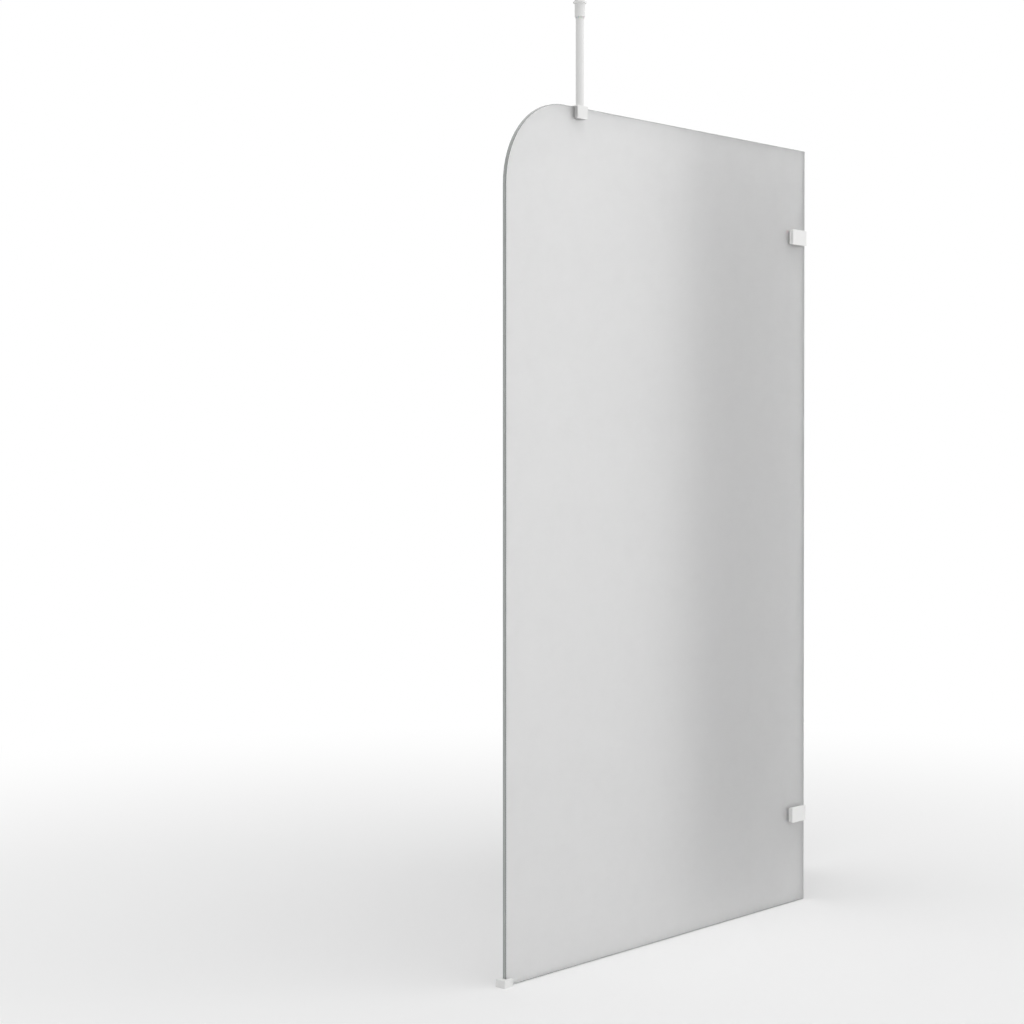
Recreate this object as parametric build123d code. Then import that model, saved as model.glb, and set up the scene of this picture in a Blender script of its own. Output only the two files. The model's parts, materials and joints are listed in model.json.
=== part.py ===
from build123d import *
import os

# Walk-in shower screen: one fixed glass panel with two wall clamps, a floor clamp and a ceiling post.
# Millimetres. X runs along the panel from its free edge to the wall, the room side faces -Y, Z is up.
# The origin is on the floor, under the free edge, in the middle of the glass.

# Glass panel
screen_width = 1200.0
wall_gap = 3.0
floor_gap = 2.0
glass_height = 2000.0
glass_thickness = 10.0
corner_radius = 200.0
glass_arris = 0.8

# Wall clamps
clamp_end_distance = 234.0
clamp_height = 40.0
cover_length = 63.0
cover_wall_distance = 15.0
cover_thickness = 3.0
cover_corner_radius = 1.5
cover_edge_chamfer = 0.7
shadow_gap = 2.0
shadow_gap_inset = 3.0
jaw_thickness = 8.0
jaw_inset = 1.5
jaw_edge_chamfer = 0.5
gasket_thickness = 1.0
gasket_inset = 1.0
bracket_thickness = 10.0
bracket_corner_radius = 2.0
flange_thickness = 8.0
flange_reach = 34.0
flange_inner_fillet = 6.0
wall_hole_spacing = 22.0
wall_hole_radius = 2.75
wall_hole_head_radius = 5.5

# Screw, bush and snap tabs of a wall clamp
clamp_screw_radius = 4.0
clamp_screw_head_radius = 7.5
clamp_screw_thread_length = 9.0
clamp_socket_width = 5.0
clamp_socket_depth = 2.8
screw_head_sink = 0.2
thread_clearance = 0.05
bush_wall = 3.6
bush_clearance = 0.3
bush_end_clearance = 0.3
snap_tab_spacing = 46.0
snap_tab_thickness = 2.0
snap_tab_width = 14.0
snap_tab_depth = 4.5
snap_tab_clearance = 0.1

# Floor clamp
floor_clamp_side = 28.0
floor_clamp_height = 18.0
floor_clamp_chamfer = 0.8
boot_wall = 1.0
boot_inset = 0.5
stud_hole_radius = 3.0
stud_hole_depth = 11.0
floor_grub_radius = 2.0
floor_grub_height = 10.5

# Top clamp
post_distance = 256.0
top_clamp_width = 36.0
top_clamp_drop = 27.0
top_clamp_chamfer = 0.6
top_outer_jaw = 3.0
top_inner_jaw = 8.0
top_bridge = 2.0
top_pad_thickness = 8.5
top_liner_thickness = 1.0
top_liner_inset = 0.6
pressure_plate_thickness = 1.8
pressure_plate_inset = 1.5
pressure_plate_clearance = 0.2
top_grub_radius = 2.5
top_grub_spacing = 18.0
top_grub_drop = 14.0
spigot_height = 15.0
spigot_clearance = 0.05
spigot_chamfer = 1.0

# Ceiling post
post_radius = 9.5
post_wall = 1.5
post_free_length = 207.0
post_edge_chamfer = 0.4
post_grub_radius = 2.0
post_grub_height = 8.0
post_grub_length = 5.5
grub_sink = 0.3

# Ceiling cup and its fixing
base_radius = 12.0
base_thickness = 9.0
base_plug_length = 5.0
base_plug_clearance = 0.05
ceiling_screw_radius = 2.75
ceiling_screw_head_radius = 5.5
cup_rim_radius = 16.0
cup_rim_thickness = 3.0
cup_rim_chamfer = 0.8
cup_sleeve_radius = 12.0
cup_sleeve_length = 32.0
cup_mouth_chamfer = 0.8
cup_running_clearance = 0.1
cup_travel = 7.0
cup_stop_gap = 0.5
ring_wall = 0.7
ring_seat_depth = 5.0
ring_standout = 3.5
ring_seat_clearance = 0.05
cup_grub_radius = 2.0
cup_grub_height = 11.0
cup_grub_tip_gap = 0.25
cup_grub_sink = 0.2

# Hexagon sockets and points of the grub screws
grub_socket_ratio = 1.0
grub_socket_depth = 1.2
grub_point = 0.5

# Places that follow from the sizes above
half_glass = glass_thickness / 2
glass_end = screen_width - wall_gap
glass_top = floor_gap + glass_height
clamp_levels = {"lower": floor_gap + clamp_end_distance, "upper": glass_top - clamp_end_distance}
cover_end = screen_width - cover_wall_distance
cover_start = cover_end - cover_length
clamp_middle = (cover_start + cover_end) / 2
gasket_face = half_glass + gasket_thickness
jaw_face = gasket_face + jaw_thickness
cover_back = jaw_face + shadow_gap
cover_face = cover_back + cover_thickness
bracket_back = gasket_face + bracket_thickness
screw_hole_radius = clamp_screw_radius + thread_clearance
bush_radius = screw_hole_radius + bush_wall
glass_hole_radius = bush_radius + bush_clearance
top_jaw_inside = half_glass + top_liner_thickness
top_outer_inside = half_glass + top_pad_thickness
top_outer_face = top_outer_inside + top_outer_jaw
top_inner_inside = top_jaw_inside + pressure_plate_thickness + pressure_plate_clearance
top_inner_face = top_inner_inside + top_inner_jaw
top_bridge_bottom = glass_top + top_liner_thickness
top_clamp_top = top_bridge_bottom + top_bridge
top_clamp_bottom = glass_top - top_clamp_drop
post_y = post_radius + top_clamp_chamfer - top_outer_face
post_bore_radius = post_radius - post_wall
cup_bottom = top_clamp_top + post_free_length
rim_bottom = cup_bottom + cup_sleeve_length
cup_top = rim_bottom + cup_rim_thickness
ceiling_height = cup_top + base_thickness
plug_bottom = cup_top - base_plug_length
post_top = plug_bottom - cup_travel - cup_stop_gap
cup_bore_radius = post_radius + cup_running_clearance
ring_radius = cup_bore_radius + ring_wall


def slab(x_low, x_high, y_low, y_high, z_low, z_high):
    """A rectangular block between two limits on each axis."""
    size = (x_high - x_low, y_high - y_low, z_high - z_low)
    middle = ((x_low + x_high) / 2, (y_low + y_high) / 2, (z_low + z_high) / 2)
    return Pos(*middle) * Box(*size)


def rod(start, end, radius):
    """A round bar from one point to another."""
    run = Vector(*end) - Vector(*start)
    base = Plane(origin=start, z_dir=run)
    return base * Cylinder(radius, run.length, align=(Align.CENTER, Align.CENTER, Align.MIN))


def countersink(mouth, direction, hole_radius, head_radius):
    """The cone of a 90 degree screw head, narrowing from its mouth along a direction."""
    depth = head_radius - hole_radius
    base = Plane(origin=mouth, z_dir=direction)
    return base * Cone(head_radius, hole_radius, depth, align=(Align.CENTER, Align.CENTER, Align.MIN))


def hexagon_socket(mouth, direction, width, depth):
    """The six sided recess that a key enters, sunk from its mouth along a direction."""
    outline = Plane(origin=mouth, z_dir=direction) * RegularPolygon(width / 2, 6, major_radius=False)
    return extrude(outline, amount=depth)


def grub_screw(socket_end, point_end, radius):
    """A headless screw with a hexagon socket in one end and a small flat point on the other."""
    direction = Vector(*point_end) - Vector(*socket_end)
    body = rod(socket_end, point_end, radius)
    tip = body.edges().sort_by_distance(point_end)[0]
    body = chamfer(tip, grub_point)
    return body - hexagon_socket(socket_end, direction, radius * grub_socket_ratio, grub_socket_depth)


def glass_panel():
    """The toughened pane: one rounded top corner, ground edges and a hole for each clamp screw."""
    pane = slab(0, glass_end, -half_glass, half_glass, floor_gap, glass_top)
    corner = pane.edges().filter_by(Axis.Y).sort_by_distance((0, 0, glass_top))[0]
    pane = fillet(corner, corner_radius)
    faces = pane.faces().filter_by(Axis.Y)
    pane = chamfer(faces.edges(), glass_arris)
    for level in clamp_levels.values():
        pane -= rod((clamp_middle, -half_glass, level), (clamp_middle, half_glass, level), glass_hole_radius)
    return pane


def wall_bracket(level):
    """The angle on the shower side: a jaw behind the glass and a flange against the wall."""
    low, high = level - clamp_height / 2, level + clamp_height / 2
    flange_start = screen_width - flange_thickness
    jaw = slab(cover_start, screen_width, gasket_face, bracket_back, low, high)
    flange = slab(flange_start, screen_width, gasket_face, bracket_back + flange_reach, low, high)
    angle = jaw + flange
    inner_corner = (flange_start, bracket_back, level)
    angle = fillet(angle.edges().filter_by(Axis.Z).sort_by_distance(inner_corner)[0], flange_inner_fillet)
    jaw_end = angle.faces().sort_by(Axis.X)[0]
    flange_end = angle.faces().sort_by(Axis.Y)[-1]
    ends = jaw_end.edges().filter_by(Axis.Y) + flange_end.edges().filter_by(Axis.X)
    angle = fillet(ends, bracket_corner_radius)
    angle -= rod((clamp_middle, gasket_face, level), (clamp_middle, bracket_back, level), screw_hole_radius)
    hole_y = bracket_back + flange_reach / 2
    for side in (-1, 1):
        z = level + side * wall_hole_spacing / 2
        face = (flange_start, hole_y, z)
        angle -= rod(face, (screen_width, hole_y, z), wall_hole_radius)
        angle -= countersink(face, (1, 0, 0), wall_hole_radius, wall_hole_head_radius)
    return angle


def clamp_gasket(level, side):
    """The rubber sheet between the glass and one jaw; side is -1 for the room, 1 for the shower."""
    inset = jaw_inset + gasket_inset
    low, high = level - clamp_height / 2 + inset, level + clamp_height / 2 - inset
    y_low, y_high = sorted((side * half_glass, side * gasket_face))
    sheet = slab(cover_start + inset, cover_end - inset, y_low, y_high, low, high)
    return sheet - rod((clamp_middle, y_low, level), (clamp_middle, y_high, level), glass_hole_radius)


def jaw_plate(level):
    """The pressure plate on the room side, countersunk for the screw and slotted for the cover's tabs."""
    low, high = level - clamp_height / 2 + jaw_inset, level + clamp_height / 2 - jaw_inset
    plate = slab(cover_start + jaw_inset, cover_end - jaw_inset, -jaw_face, -gasket_face, low, high)
    plate = chamfer(plate.edges(), jaw_edge_chamfer)
    mouth = (clamp_middle, -jaw_face, level)
    plate -= rod(mouth, (clamp_middle, -gasket_face, level), screw_hole_radius)
    plate -= countersink(mouth, (0, 1, 0), screw_hole_radius, clamp_screw_head_radius + screw_head_sink)
    half_thickness = snap_tab_thickness / 2 + snap_tab_clearance
    half_width = snap_tab_width / 2 + snap_tab_clearance
    for side in (-1, 1):
        x = clamp_middle + side * snap_tab_spacing / 2
        plate -= slab(x - half_thickness, x + half_thickness, -jaw_face,
                      snap_tab_depth + snap_tab_clearance - jaw_face, level - half_width, level + half_width)
    return plate


def clamp_cover(level):
    """The snap-on cover that hides the screw, held off the jaw by a step that leaves a shadow line."""
    low, high = level - clamp_height / 2, level + clamp_height / 2
    plate = slab(cover_start, cover_end, -cover_face, -cover_back, low, high)
    plate = fillet(plate.edges().filter_by(Axis.Y), cover_corner_radius)
    plate = chamfer(plate.faces().sort_by(Axis.Y)[0].edges(), cover_edge_chamfer)
    plate += slab(cover_start + shadow_gap_inset, cover_end - shadow_gap_inset, -cover_back, -jaw_face,
                  low + shadow_gap_inset, high - shadow_gap_inset)
    half_thickness, half_width = snap_tab_thickness / 2, snap_tab_width / 2
    for side in (-1, 1):
        x = clamp_middle + side * snap_tab_spacing / 2
        plate += slab(x - half_thickness, x + half_thickness, -jaw_face, snap_tab_depth - jaw_face,
                      level - half_width, level + half_width)
    return plate


def clamp_screw(level):
    """The countersunk screw from the jaw plate, through the glass, into the bracket."""
    top = -jaw_face + screw_head_sink
    head_depth = clamp_screw_head_radius - clamp_screw_radius
    shank_end = gasket_face + clamp_screw_thread_length
    screw = rod((clamp_middle, top + head_depth, level), (clamp_middle, shank_end, level), clamp_screw_radius)
    screw += countersink((clamp_middle, top, level), (0, 1, 0), clamp_screw_radius, clamp_screw_head_radius)
    return screw - hexagon_socket((clamp_middle, top, level), (0, 1, 0), clamp_socket_width, clamp_socket_depth)


def glass_bush(level):
    """The plastic sleeve that keeps the screw off the edge of its hole in the glass."""
    end = half_glass - bush_end_clearance
    near, far = (clamp_middle, -end, level), (clamp_middle, end, level)
    return rod(near, far, bush_radius) - rod(near, far, screw_hole_radius)


def floor_clamp():
    """The block at the foot of the free edge: a nose over the floor stud and two jaws beside the glass."""
    half = floor_clamp_side / 2
    block = slab(-half, half, -half, half, 0, floor_clamp_height)
    block = chamfer(block.edges().filter_by(Axis.Z), floor_clamp_chamfer)
    block = chamfer(block.faces().sort_by(Axis.Z)[-1].edges(), floor_clamp_chamfer)
    slot = half_glass + boot_wall
    block -= slab(-boot_wall, half, -slot, slot, 0, floor_clamp_height)
    stud_x = -(half + boot_wall) / 2
    block -= rod((stud_x, 0, 0), (stud_x, 0, stud_hole_depth), stud_hole_radius)
    grub_hole = floor_grub_radius + thread_clearance
    return block - rod((half / 2, slot, floor_grub_height), (half / 2, half, floor_grub_height), grub_hole)


def floor_boot():
    """The rubber boot that the corner of the glass stands in."""
    end = floor_clamp_side / 2 - boot_inset
    top = floor_clamp_height - boot_inset
    outside = half_glass + boot_wall
    boot = slab(-boot_wall, end, -outside, outside, 0, top)
    return boot - slab(0, end, -half_glass, half_glass, floor_gap, top)


def floor_grub_screw():
    """The screw that presses the boot against the glass from the shower side."""
    half = floor_clamp_side / 2
    point = (half / 2, half_glass + boot_wall, floor_grub_height)
    mouth = (half / 2, half - grub_sink, floor_grub_height)
    return grub_screw(mouth, point, floor_grub_radius)


def top_clamp():
    """The saddle over the top edge: two jaws, a bridge and a spigot for the post, flush with the front."""
    half = top_clamp_width / 2
    left, right = post_distance - half, post_distance + half
    block = slab(left, right, -top_outer_face, top_inner_face, top_clamp_bottom, top_clamp_top)
    block = chamfer(block.edges(), top_clamp_chamfer)
    block -= slab(left, right, -top_outer_inside, top_inner_inside, top_clamp_bottom, top_bridge_bottom)
    spigot_top = top_clamp_top + spigot_height
    spigot = rod((post_distance, post_y, top_clamp_top), (post_distance, post_y, spigot_top),
                 post_bore_radius - spigot_clearance)
    block += chamfer(spigot.edges().sort_by(Axis.Z)[-1], spigot_chamfer)
    grub_z = top_clamp_top + post_grub_height
    grub_tip = post_y + post_radius - grub_sink - post_grub_length
    block -= rod((post_distance, grub_tip, grub_z), (post_distance, post_y + post_radius, grub_z),
                 post_grub_radius + thread_clearance)
    for x in top_grub_places():
        z = glass_top - top_grub_drop
        block -= rod((x, top_inner_inside, z), (x, top_inner_face, z), top_grub_radius + thread_clearance)
    return block


def top_grub_places():
    """Where the two grub screws of the inner jaw are along the panel."""
    return [post_distance - top_grub_spacing / 2, post_distance + top_grub_spacing / 2]


def top_liner():
    """The moulded rubber saddle on the top edge of the glass: a thick pad in front, a thin leg behind."""
    half = top_clamp_width / 2 - top_liner_inset
    left, right = post_distance - half, post_distance + half
    bottom = top_clamp_bottom + top_liner_inset
    liner = slab(left, right, -top_outer_inside, top_jaw_inside, bottom, top_bridge_bottom)
    return liner - slab(left, right, -half_glass, half_glass, bottom, glass_top)


def top_pressure_plate():
    """The steel plate that spreads the load of the two grub screws."""
    half = top_clamp_width / 2 - pressure_plate_inset
    bottom = top_clamp_bottom + pressure_plate_inset
    return slab(post_distance - half, post_distance + half, top_jaw_inside,
                top_jaw_inside + pressure_plate_thickness, bottom, glass_top - pressure_plate_inset)


def top_grub_screws():
    """The two screws of the inner jaw."""
    screws = []
    for x in top_grub_places():
        z = glass_top - top_grub_drop
        point = (x, top_jaw_inside + pressure_plate_thickness, z)
        screws.append(grub_screw((x, top_inner_face - grub_sink, z), point, top_grub_radius))
    return screws


def ceiling_post():
    """The round tube from the top clamp to the ceiling cup."""
    foot, head = (post_distance, post_y, top_clamp_top), (post_distance, post_y, post_top)
    tube = rod(foot, head, post_radius)
    tube = chamfer(tube.edges().filter_by(GeomType.CIRCLE), post_edge_chamfer)
    tube -= rod(foot, head, post_bore_radius)
    grub_z = top_clamp_top + post_grub_height
    return tube - rod((post_distance, post_y, grub_z), (post_distance, post_y + post_radius, grub_z),
                      post_grub_radius + thread_clearance)


def post_grub_screw():
    """The screw that holds the tube on the spigot, just under the back of the tube."""
    grub_z = top_clamp_top + post_grub_height
    mouth_y = post_y + post_radius - grub_sink
    return grub_screw((post_distance, mouth_y, grub_z), (post_distance, mouth_y - post_grub_length, grub_z),
                      post_grub_radius)


def ceiling_base():
    """The fixing piece on the ceiling: a disc and a plug inside the cup, with one countersunk hole."""
    disc = rod((0, 0, cup_top), (0, 0, ceiling_height), base_radius)
    plug = rod((0, 0, plug_bottom), (0, 0, cup_top), cup_bore_radius - base_plug_clearance)
    base = disc + plug
    base -= rod((0, 0, plug_bottom), (0, 0, ceiling_height), ceiling_screw_radius)
    base -= countersink((0, 0, plug_bottom), (0, 0, 1), ceiling_screw_radius, ceiling_screw_head_radius)
    return Pos(post_distance, post_y, 0) * base


def ceiling_cup():
    """The rimmed cup that covers the fixing and that the post telescopes into."""
    rim = rod((0, 0, rim_bottom), (0, 0, cup_top), cup_rim_radius)
    rim = chamfer(rim.edges().filter_by(GeomType.CIRCLE).sort_by(Axis.Z)[0], cup_rim_chamfer)
    sleeve = rod((0, 0, cup_bottom), (0, 0, rim_bottom), cup_sleeve_radius)
    sleeve = chamfer(sleeve.edges().sort_by(Axis.Z)[0], cup_mouth_chamfer)
    cup = rim + sleeve
    cup -= rod((0, 0, cup_bottom), (0, 0, cup_top), cup_bore_radius)
    cup -= rod((0, 0, cup_bottom), (0, 0, cup_bottom + ring_seat_depth), ring_radius + ring_seat_clearance)
    grub_z = cup_bottom + cup_grub_height
    cup -= rod((0, 0, grub_z), (0, cup_sleeve_radius, grub_z), cup_grub_radius + thread_clearance)
    return Pos(post_distance, post_y, 0) * cup


def cup_guide_ring():
    """The plastic ring in the mouth of the cup that guides the post."""
    low, high = (0, 0, cup_bottom - ring_standout), (0, 0, cup_bottom + ring_seat_depth)
    return Pos(post_distance, post_y, 0) * (rod(low, high, ring_radius) - rod(low, high, cup_bore_radius))


def cup_grub_screw():
    """The screw that locks the post in the cup, drawn just clear of the tube so that it can slide."""
    z = cup_bottom + cup_grub_height
    tip = (post_distance, post_y + post_radius + cup_grub_tip_gap, z)
    mouth = (post_distance, post_y + cup_sleeve_radius - cup_grub_sink, z)
    return rod(mouth, tip, cup_grub_radius) - hexagon_socket(mouth, (0, -1, 0), cup_grub_radius, grub_socket_depth)


def build_nodes():
    """Every separate piece of the screen, by node name."""
    nodes = {"glass_panel": glass_panel()}
    for name, level in clamp_levels.items():
        nodes[name + "_wall_bracket"] = wall_bracket(level)
        nodes[name + "_inner_gasket"] = clamp_gasket(level, 1)
        nodes[name + "_outer_gasket"] = clamp_gasket(level, -1)
        nodes[name + "_jaw_plate"] = jaw_plate(level)
        nodes[name + "_clamp_cover"] = clamp_cover(level)
    nodes["clamp_screws"] = Compound([clamp_screw(level) for level in clamp_levels.values()])
    nodes["glass_bushes"] = Compound([glass_bush(level) for level in clamp_levels.values()])
    nodes["floor_clamp"] = floor_clamp()
    nodes["floor_boot"] = floor_boot()
    nodes["floor_grub_screw"] = floor_grub_screw()
    nodes["top_clamp"] = top_clamp()
    nodes["top_liner"] = top_liner()
    nodes["top_pressure_plate"] = top_pressure_plate()
    nodes["top_grub_screws"] = Compound(top_grub_screws())
    nodes["ceiling_post"] = ceiling_post()
    nodes["post_grub_screw"] = post_grub_screw()
    nodes["ceiling_base"] = ceiling_base()
    nodes["ceiling_cup"] = ceiling_cup()
    nodes["cup_guide_ring"] = cup_guide_ring()
    nodes["cup_grub_screw"] = cup_grub_screw()
    return nodes


os.makedirs("parts", exist_ok=True)
for node_name, shape in build_nodes().items():
    export_step(shape, f"parts/{node_name}.step")
    print(node_name, round(shape.volume, 1))
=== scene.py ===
# %% [markdown]
# # A walk-in shower screen
#
# The object is one fixed pane of satin glass, 1.2 m wide and 2 m tall, with one large rounded corner.
# Two clamps hold it to the wall, a small block holds the foot of its free edge, and a thin post goes
# up to the ceiling. All that shows of the fittings is white, but for a little grey rubber.
#
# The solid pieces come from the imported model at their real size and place. This lesson gives each of
# them the surface that its maker gives it, then adds the light and the camera.

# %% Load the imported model
import json
import math

import bpy
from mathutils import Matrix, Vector

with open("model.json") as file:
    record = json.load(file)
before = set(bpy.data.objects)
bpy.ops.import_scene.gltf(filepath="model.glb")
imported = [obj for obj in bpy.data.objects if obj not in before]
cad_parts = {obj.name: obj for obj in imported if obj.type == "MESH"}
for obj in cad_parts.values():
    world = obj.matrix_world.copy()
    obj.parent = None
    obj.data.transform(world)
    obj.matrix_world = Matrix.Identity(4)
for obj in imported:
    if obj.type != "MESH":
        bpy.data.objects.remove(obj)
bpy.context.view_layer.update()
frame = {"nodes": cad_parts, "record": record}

# %% [markdown]
# ## Small helpers
#
# Colours are written as they look on a screen, in sRGB hex, and Blender wants them linear, so one
# function turns one into the other. Another adds a shader node with its settings and its links, so
# that each material below reads as a short list. Noise, relief and colour ramps come back in several
# materials, so each has a function too.

# %% Colours and nodes
MILLIMETRE = 0.001


def linear(hex_colour):
    """An sRGB hex colour as the linear RGBA that a shader socket takes."""
    channels = [int(hex_colour[i:i + 2], 16) / 255 for i in (1, 3, 5)]
    return [c / 12.92 if c <= 0.04045 else ((c + 0.055) / 1.055) ** 2.4 for c in channels] + [1.0]


def add(material, kind, settings=None, values=None, links=None):
    """A new node: settings are its properties, values its sockets, links socket to (node, output)."""
    node = material.node_tree.nodes.new(kind)
    for name, value in (settings or {}).items():
        setattr(node, name, value)
    for name, value in (values or {}).items():
        node.inputs[name].default_value = value
    for name, (source, output) in (links or {}).items():
        material.node_tree.links.new(source.outputs[output], node.inputs[name])
    return node


def new_material(name):
    """An empty material with nodes, and its output node."""
    material = bpy.data.materials.new(name)
    material.use_nodes = True
    material.node_tree.nodes.clear()
    return material, material.node_tree.nodes.new("ShaderNodeOutputMaterial")


def plug_in(material, output, shader):
    """Connects a shader to the material's surface."""
    material.node_tree.links.new(shader.outputs[0], output.inputs["Surface"])


def noise(material, size_mm, detail, roughness=0.5):
    """Noise that is fixed to the piece, with blobs about this many millimetres wide."""
    where = add(material, "ShaderNodeTexCoord")
    waves_per_metre = 1.0 / (size_mm * MILLIMETRE)
    return add(material, "ShaderNodeTexNoise",
               values={"Scale": waves_per_metre, "Detail": detail, "Roughness": roughness},
               links={"Vector": (where, "Object")})


def relief(material, pattern, strength, depth_mm):
    """A very shallow relief from a noise."""
    return add(material, "ShaderNodeBump", values={"Strength": strength, "Distance": depth_mm * MILLIMETRE},
               links={"Height": (pattern, "Fac")})


def spread_over(material, pattern, low, high):
    """A noise turned into values from low to high."""
    return add(material, "ShaderNodeMapRange", values={"To Min": low, "To Max": high},
               links={"Value": (pattern, "Fac")})


def ramp(material, source, stops, interpolation="LINEAR"):
    """A colour ramp with two stops, each a position and a hex colour; source is (node, output)."""
    node = add(material, "ShaderNodeValToRGB", links={"Fac": source})
    node.color_ramp.interpolation = interpolation
    for element, (position, hex_colour) in zip(node.color_ramp.elements, stops):
        element.position, element.color = position, linear(hex_colour)
    return node


def mix(material, share, first, second):
    """Two shaders in one; share is the (node, output) that says how much of the second shows."""
    return add(material, "ShaderNodeMixShader", links={0: share, 1: first, 2: second})


print("middle grey in linear light:", [round(c, 3) for c in linear("#808080")])

# %% [markdown]
# ## Satin glass
#
# The pane is toughened soda-lime glass, 10 mm thick. Both faces were etched with acid, which leaves them
# finely pitted: light that goes in comes out scattered, so the pane glows softly and shows nothing
# behind it but a vague shade. The edges were ground and polished, so they are smoother than the faces and
# darker, because there the eye looks along the glass.
#
# The face mixes a white diffuse part, for the light that the pits scatter, with rough transmission,
# for the light that passes. Faces, arrises and edges are told apart by how far they look along Y. The
# narrow arris is painted darkest: painted shade for the shade where the pane meets the wall, put on every
# arris.

# %% The satin faces and the polished edge
# A real etch pit is about 0.05 mm. These are drawn coarser, so that the grain still shows from a step away.
PIT_MM, PIT_DEPTH_MM = 1.6, 0.1
CLOUD_MM = 60.0
POLISH_STREAK_MM = 9.0
GLASS_IOR = 1.52
FACE_TINTS = (0.3, "#F3F3F3"), (0.7, "#F7F7F7")
FACE_ROUGHNESS = 0.62
FACE_TRANSMISSION = 0.65
FACE_SPECULAR = 0.35
EDGE_TRANSMISSION = 0.12
EDGE_ROUGHNESS = 0.18, 0.3
# The arris stop is painted shade, darker than the edge, standing in for the shade along the wall.
ARRIS_SHADE_STARTS, FACE_STARTS = 0.4, 0.9
EDGE_TINT_AND_ARRIS_SHADE = (0.0, "#AFB3B1"), (ARRIS_SHADE_STARTS, "#747876")


def satin_glass():
    """Etched faces, and an edge in darker, smoother glass, with painted shade on the arris."""
    material, output = new_material("acid_etched_toughened_glass")
    cloud = noise(material, CLOUD_MM, detail=4.0, roughness=0.6)
    tint = ramp(material, (cloud, "Fac"), FACE_TINTS)
    pits = noise(material, PIT_MM, detail=3.0)
    grain = relief(material, pits, strength=0.12, depth_mm=PIT_DEPTH_MM)
    face = add(material, "ShaderNodeBsdfPrincipled",
               values={"Roughness": FACE_ROUGHNESS, "IOR": GLASS_IOR,
                       "Transmission Weight": FACE_TRANSMISSION, "Specular IOR Level": FACE_SPECULAR},
               links={"Base Color": (tint, "Color"), "Normal": (grain, "Normal")})
    polish = noise(material, POLISH_STREAK_MM, detail=2.0)
    gloss = spread_over(material, polish, *EDGE_ROUGHNESS)
    facing = add(material, "ShaderNodeNewGeometry")
    axes = add(material, "ShaderNodeSeparateXYZ", links={"Vector": (facing, "True Normal")})
    across = add(material, "ShaderNodeMath", {"operation": "ABSOLUTE"}, links={0: (axes, "Y")})
    # Edge tint, with painted shade on the arris.
    edge_colour_with_arris_shade = ramp(material, (across, "Value"), EDGE_TINT_AND_ARRIS_SHADE, "CONSTANT")
    edge = add(material, "ShaderNodeBsdfPrincipled",
               values={"IOR": GLASS_IOR, "Transmission Weight": EDGE_TRANSMISSION},
               links={"Base Color": (edge_colour_with_arris_shade, "Color"), "Roughness": (gloss, "Result")})
    is_face = add(material, "ShaderNodeMath", {"operation": "GREATER_THAN"}, {1: FACE_STARTS},
                  {0: (across, "Value")})
    plug_in(material, output, mix(material, (is_face, "Value"), (edge, "BSDF"), (face, "BSDF")))
    return material


# %% [markdown]
# ## White powder coat
#
# The clamps, the tube and the cup are metal with a fine white powder coat. The powder melts and flows
# in the oven, which leaves a very shallow orange peel and a satin gloss.

# %% Powder-coated aluminium and brass
ORANGE_PEEL_MM, ORANGE_PEEL_DEPTH_MM = 0.9, 0.02
COAT_WHITE = "#F4F4F3"
COAT_ROUGHNESS = 0.36, 0.48
PLASTIC_IOR = 1.5


def white_powder_coat():
    """White paint with a shallow orange peel, a little duller on its bumps."""
    material, output = new_material("white_satin_powder_coat")
    peel = noise(material, ORANGE_PEEL_MM, detail=2.0)
    ripple = relief(material, peel, strength=0.25, depth_mm=ORANGE_PEEL_DEPTH_MM)
    flow = spread_over(material, peel, *COAT_ROUGHNESS)
    paint = add(material, "ShaderNodeBsdfPrincipled",
                values={"Base Color": linear(COAT_WHITE), "IOR": PLASTIC_IOR},
                links={"Roughness": (flow, "Result"), "Normal": (ripple, "Normal")})
    plug_in(material, output, paint)
    return material


# %% [markdown]
# ## Rubber, nylon and stainless steel
#
# The lining of the top clamp is grey EPDM, moulded against a matt tool. The gaskets of the wall clamps
# and the boot of the floor clamp are a pale silicone. The bushes and the guide ring are white nylon, a
# little waxy, because light goes into it before it comes out. The screws, and the plate that two of them
# press on, are stainless steel, with fine lines from the tool.

# %% The small parts
MOULD_GRAIN_MM, MOULD_GRAIN_DEPTH_MM = 0.7, 0.03
MOULD_ROUGHNESS_SPREAD = 0.06
LIGHT_REACH_MM = 1.0
TOOL_LINE_MM, TOOL_LINE_DEPTH_MM = 0.3, 0.02
STEEL = "#C9C6C1"
STEEL_ROUGHNESS = 0.28


def moulded(name, hex_colour, roughness, subsurface=0.0):
    """A moulded rubber or plastic: one colour with a fine grain from the mould."""
    material, output = new_material(name)
    grain = noise(material, MOULD_GRAIN_MM, detail=3.0)
    bumps = relief(material, grain, strength=0.3, depth_mm=MOULD_GRAIN_DEPTH_MM)
    dull = spread_over(material, grain, roughness - MOULD_ROUGHNESS_SPREAD,
                       roughness + MOULD_ROUGHNESS_SPREAD)
    body = add(material, "ShaderNodeBsdfPrincipled",
               values={"Base Color": linear(hex_colour), "IOR": PLASTIC_IOR, "Subsurface Weight": subsurface,
                       "Subsurface Scale": LIGHT_REACH_MM * MILLIMETRE},
               links={"Roughness": (dull, "Result"), "Normal": (bumps, "Normal")})
    plug_in(material, output, body)
    return material


def turned_steel():
    """Stainless steel as the tool leaves it: fine lines catch the light."""
    material, output = new_material("turned_stainless_steel")
    lines = noise(material, TOOL_LINE_MM, detail=1.0)
    bumps = relief(material, lines, strength=0.3, depth_mm=TOOL_LINE_DEPTH_MM)
    steel = add(material, "ShaderNodeBsdfPrincipled",
                values={"Base Color": linear(STEEL), "Metallic": 1.0, "Roughness": STEEL_ROUGHNESS},
                links={"Normal": (bumps, "Normal")})
    plug_in(material, output, steel)
    return material


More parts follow.
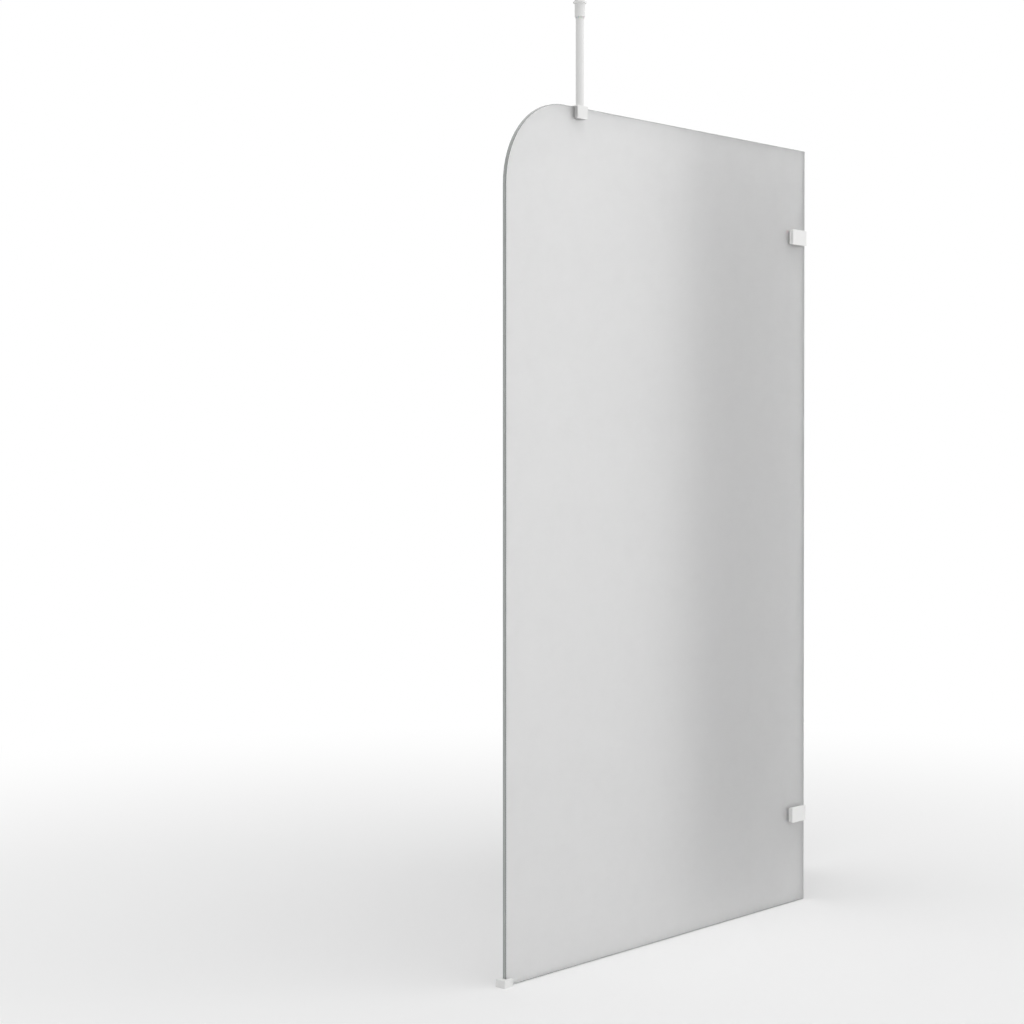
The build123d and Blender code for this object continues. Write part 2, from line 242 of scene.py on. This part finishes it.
# %% Give each piece its finish
finishes = {
    "satin_glass": satin_glass(),
    "white_powder_coat": white_powder_coat(),
    "grey_rubber": moulded("grey_epdm_rubber", "#C6C6C6", 0.72),
    "pale_silicone": moulded("pale_silicone_rubber", "#CFCFCC", 0.6, subsurface=0.3),
    "white_nylon": moulded("white_nylon", "#E6E5E0", 0.5, subsurface=0.4),
    "stainless_steel": turned_steel(),
}
slot_of = {entry["node"]: entry["material_slot"] for entry in frame["record"]["subparts"]}
for name, piece in frame["nodes"].items():
    piece.data.materials.clear()
    piece.data.materials.append(finishes[slot_of[name]])
print("finishes:", {slot: list(slot_of.values()).count(slot) for slot in finishes})

# %% [markdown]
# ## Floor and surroundings
#
# The screen stands on a plain pale floor in a white studio. The floor is a real surface, so it takes the
# soft shadow of the foot, but to the camera, and in reflections and through the glass, it is mixed
# with plain white, more so farther away, where it runs out into the backdrop. The sky lights the
# object gently, a little more from the right, and looks white.

# %% Floor and sky
FLOOR_HALF = 9.0
FLOOR_CENTRE = (0.6, 0.0, 0.0)
FLOOR_PALE = "#F7F7F7"
WHITE = "#FFFFFF"
FADE_START, FADE_END = 0.6, 4.0
WHITE_NEAR, WHITE_FAR = 0.25, 1.0
SKY_LEFT, SKY_RIGHT = 0.45, 0.85
SKY_TURN = -48.0


def sees_backdrop(material):
    """One where the ray comes from the camera, a reflection or the glass."""
    path = add(material, "ShaderNodeLightPath")
    first = add(material, "ShaderNodeMath", {"operation": "MAXIMUM"},
                links={0: (path, "Is Camera Ray"), 1: (path, "Is Glossy Ray")})
    return add(material, "ShaderNodeMath", {"operation": "MAXIMUM"},
               links={0: (first, "Value"), 1: (path, "Is Transmission Ray")})


def pale_floor():
    """A matt floor that turns into the white backdrop with its distance."""
    material, output = new_material("pale_floor")
    matt = add(material, "ShaderNodeBsdfDiffuse", values={"Color": linear(FLOOR_PALE)})
    glow = add(material, "ShaderNodeEmission", values={"Color": linear(WHITE), "Strength": 1.0})
    seen = sees_backdrop(material)
    where = add(material, "ShaderNodeTexCoord")
    away = add(material, "ShaderNodeVectorMath", {"operation": "LENGTH"}, links={0: (where, "Object")})
    fade = add(material, "ShaderNodeMapRange", {"interpolation_type": "SMOOTHSTEP"},
               {"From Min": FADE_START, "From Max": FADE_END, "To Min": WHITE_NEAR, "To Max": WHITE_FAR},
               {"Value": (away, "Value")})
    share = add(material, "ShaderNodeMath", {"operation": "MULTIPLY"},
                links={0: (seen, "Value"), 1: (fade, "Result")})
    plug_in(material, output, mix(material, (share, "Value"), (matt, "BSDF"), (glow, "Emission")))
    return material


bpy.ops.mesh.primitive_plane_add(size=2 * FLOOR_HALF, location=FLOOR_CENTRE)
floor = bpy.context.object
floor.name = "floor"
floor.data.materials.append(pale_floor())

world = bpy.data.worlds.new("studio")
bpy.context.scene.world = world
world.use_nodes = True
world.node_tree.nodes.clear()
world_output = world.node_tree.nodes.new("ShaderNodeOutputWorld")
look = add(world, "ShaderNodeTexCoord")
turned = add(world, "ShaderNodeVectorRotate", {"rotation_type": "Z_AXIS"},
             {"Angle": math.radians(-SKY_TURN)}, {"Vector": (look, "Generated")})
sideways = add(world, "ShaderNodeSeparateXYZ", links={"Vector": (turned, "Vector")})
level = add(world, "ShaderNodeMapRange",
            values={"From Min": -1.0, "From Max": 1.0, "To Min": SKY_LEFT, "To Max": SKY_RIGHT},
            links={"Value": (sideways, "X")})
sky_light = add(world, "ShaderNodeBackground", values={"Color": linear(WHITE)},
                links={"Strength": (level, "Result")})
sky_seen = add(world, "ShaderNodeBackground", values={"Color": linear(WHITE), "Strength": 1.0})
seen = sees_backdrop(world)
sky = mix(world, (seen, "Value"), (sky_light, "Background"), (sky_seen, "Background"))
plug_in(world, world_output, sky)
print("floor:", 2 * FLOOR_HALF, "m wide, sky from", SKY_LEFT, "to", SKY_RIGHT)

# %% [markdown]
# ## Light
#
# A large soft lamp high above lights what faces up and leaves a soft shadow under each clamp. A second
# one stands to the right and a little in front of the glass. It skims the pane, so that the round tube
# turns from shade on the left to light on the right, and each small step in the clamps draws its
# line.
#
# The etched glass lets part of the white backdrop through. A photographer would stand a dark flag behind
# the wall side of the pane, out of the picture, so that the pane grows darker towards the wall.

# %% Lamps
def soft_lamp(name, place, target, width, height, power):
    """A rectangular lamp that points from its place to a target."""
    lamp = bpy.data.lights.new(name, "AREA")
    lamp.shape, lamp.size, lamp.size_y, lamp.energy = "RECTANGLE", width, height, power
    holder = bpy.data.objects.new(name, lamp)
    bpy.context.scene.collection.objects.link(holder)
    holder.location = place
    holder.visible_camera = False
    holder.rotation_euler = (Vector(target) - Vector(place)).to_track_quat("-Z", "Y").to_euler()
    return holder


overhead = soft_lamp("overhead", place=(0.5, -0.9, 5.5), target=(0.5, 0.0, 1.0),
                     width=2.5, height=2.5, power=55.0)
key = soft_lamp("key", place=(3.0, -2.4, 2.3), target=(0.5, 0.0, 1.2), width=1.2, height=2.0, power=9.0)
print("lamps:", [(lamp.name, lamp.data.energy) for lamp in (overhead, key)])

# %% The flag behind the wall side of the pane
FLAG_WIDTH, FLAG_HEIGHT = 0.6, 2.1
FLAG_PLACE = (1.2, 0.25, 1.05)
FLAG_GREY = "#303030"

flag_material, flag_output = new_material("dark_grey_felt")
felt = add(flag_material, "ShaderNodeBsdfDiffuse", values={"Color": linear(FLAG_GREY)})
plug_in(flag_material, flag_output, felt)
bpy.ops.mesh.primitive_plane_add(size=1.0, location=FLAG_PLACE, rotation=(math.radians(90), 0, 0))
flag = bpy.context.object
flag.name = "flag"
flag.scale = (FLAG_WIDTH, FLAG_HEIGHT, 1.0)
flag.visible_camera = False
flag.data.materials.append(flag_material)
print("flag:", FLAG_WIDTH, "by", FLAG_HEIGHT, "m")

# %% [markdown]
# ## Camera
#
# The photograph was taken level with the middle of the screen, with a short telephoto lens. Its place,
# lens and shift were solved from the outlines of the pane at its real size.

# %% The photograph's camera
CAMERA_PLACE = (-3.3815, -3.0349, 1.2088)
CAMERA_YAW = 48.143
CAMERA_PITCH = 0.6148
SENSOR_MM, LENS_MM = 36.0, 71.33
SHIFT_ACROSS = 0.00578
SHIFT_DOWN = -0.04075

lens = bpy.data.cameras.new("camera")
lens.sensor_width, lens.lens = SENSOR_MM, LENS_MM
lens.shift_x, lens.shift_y = SHIFT_ACROSS, SHIFT_DOWN
camera = bpy.data.objects.new("camera", lens)
bpy.context.scene.collection.objects.link(camera)
camera.location = CAMERA_PLACE
camera.rotation_euler = (math.radians(90 - CAMERA_PITCH), 0, math.radians(-CAMERA_YAW))
bpy.context.scene.camera = camera
bpy.context.scene.view_settings.view_transform = "Standard"
print("camera at", [round(c, 3) for c in camera.location], "lens", LENS_MM, "mm")
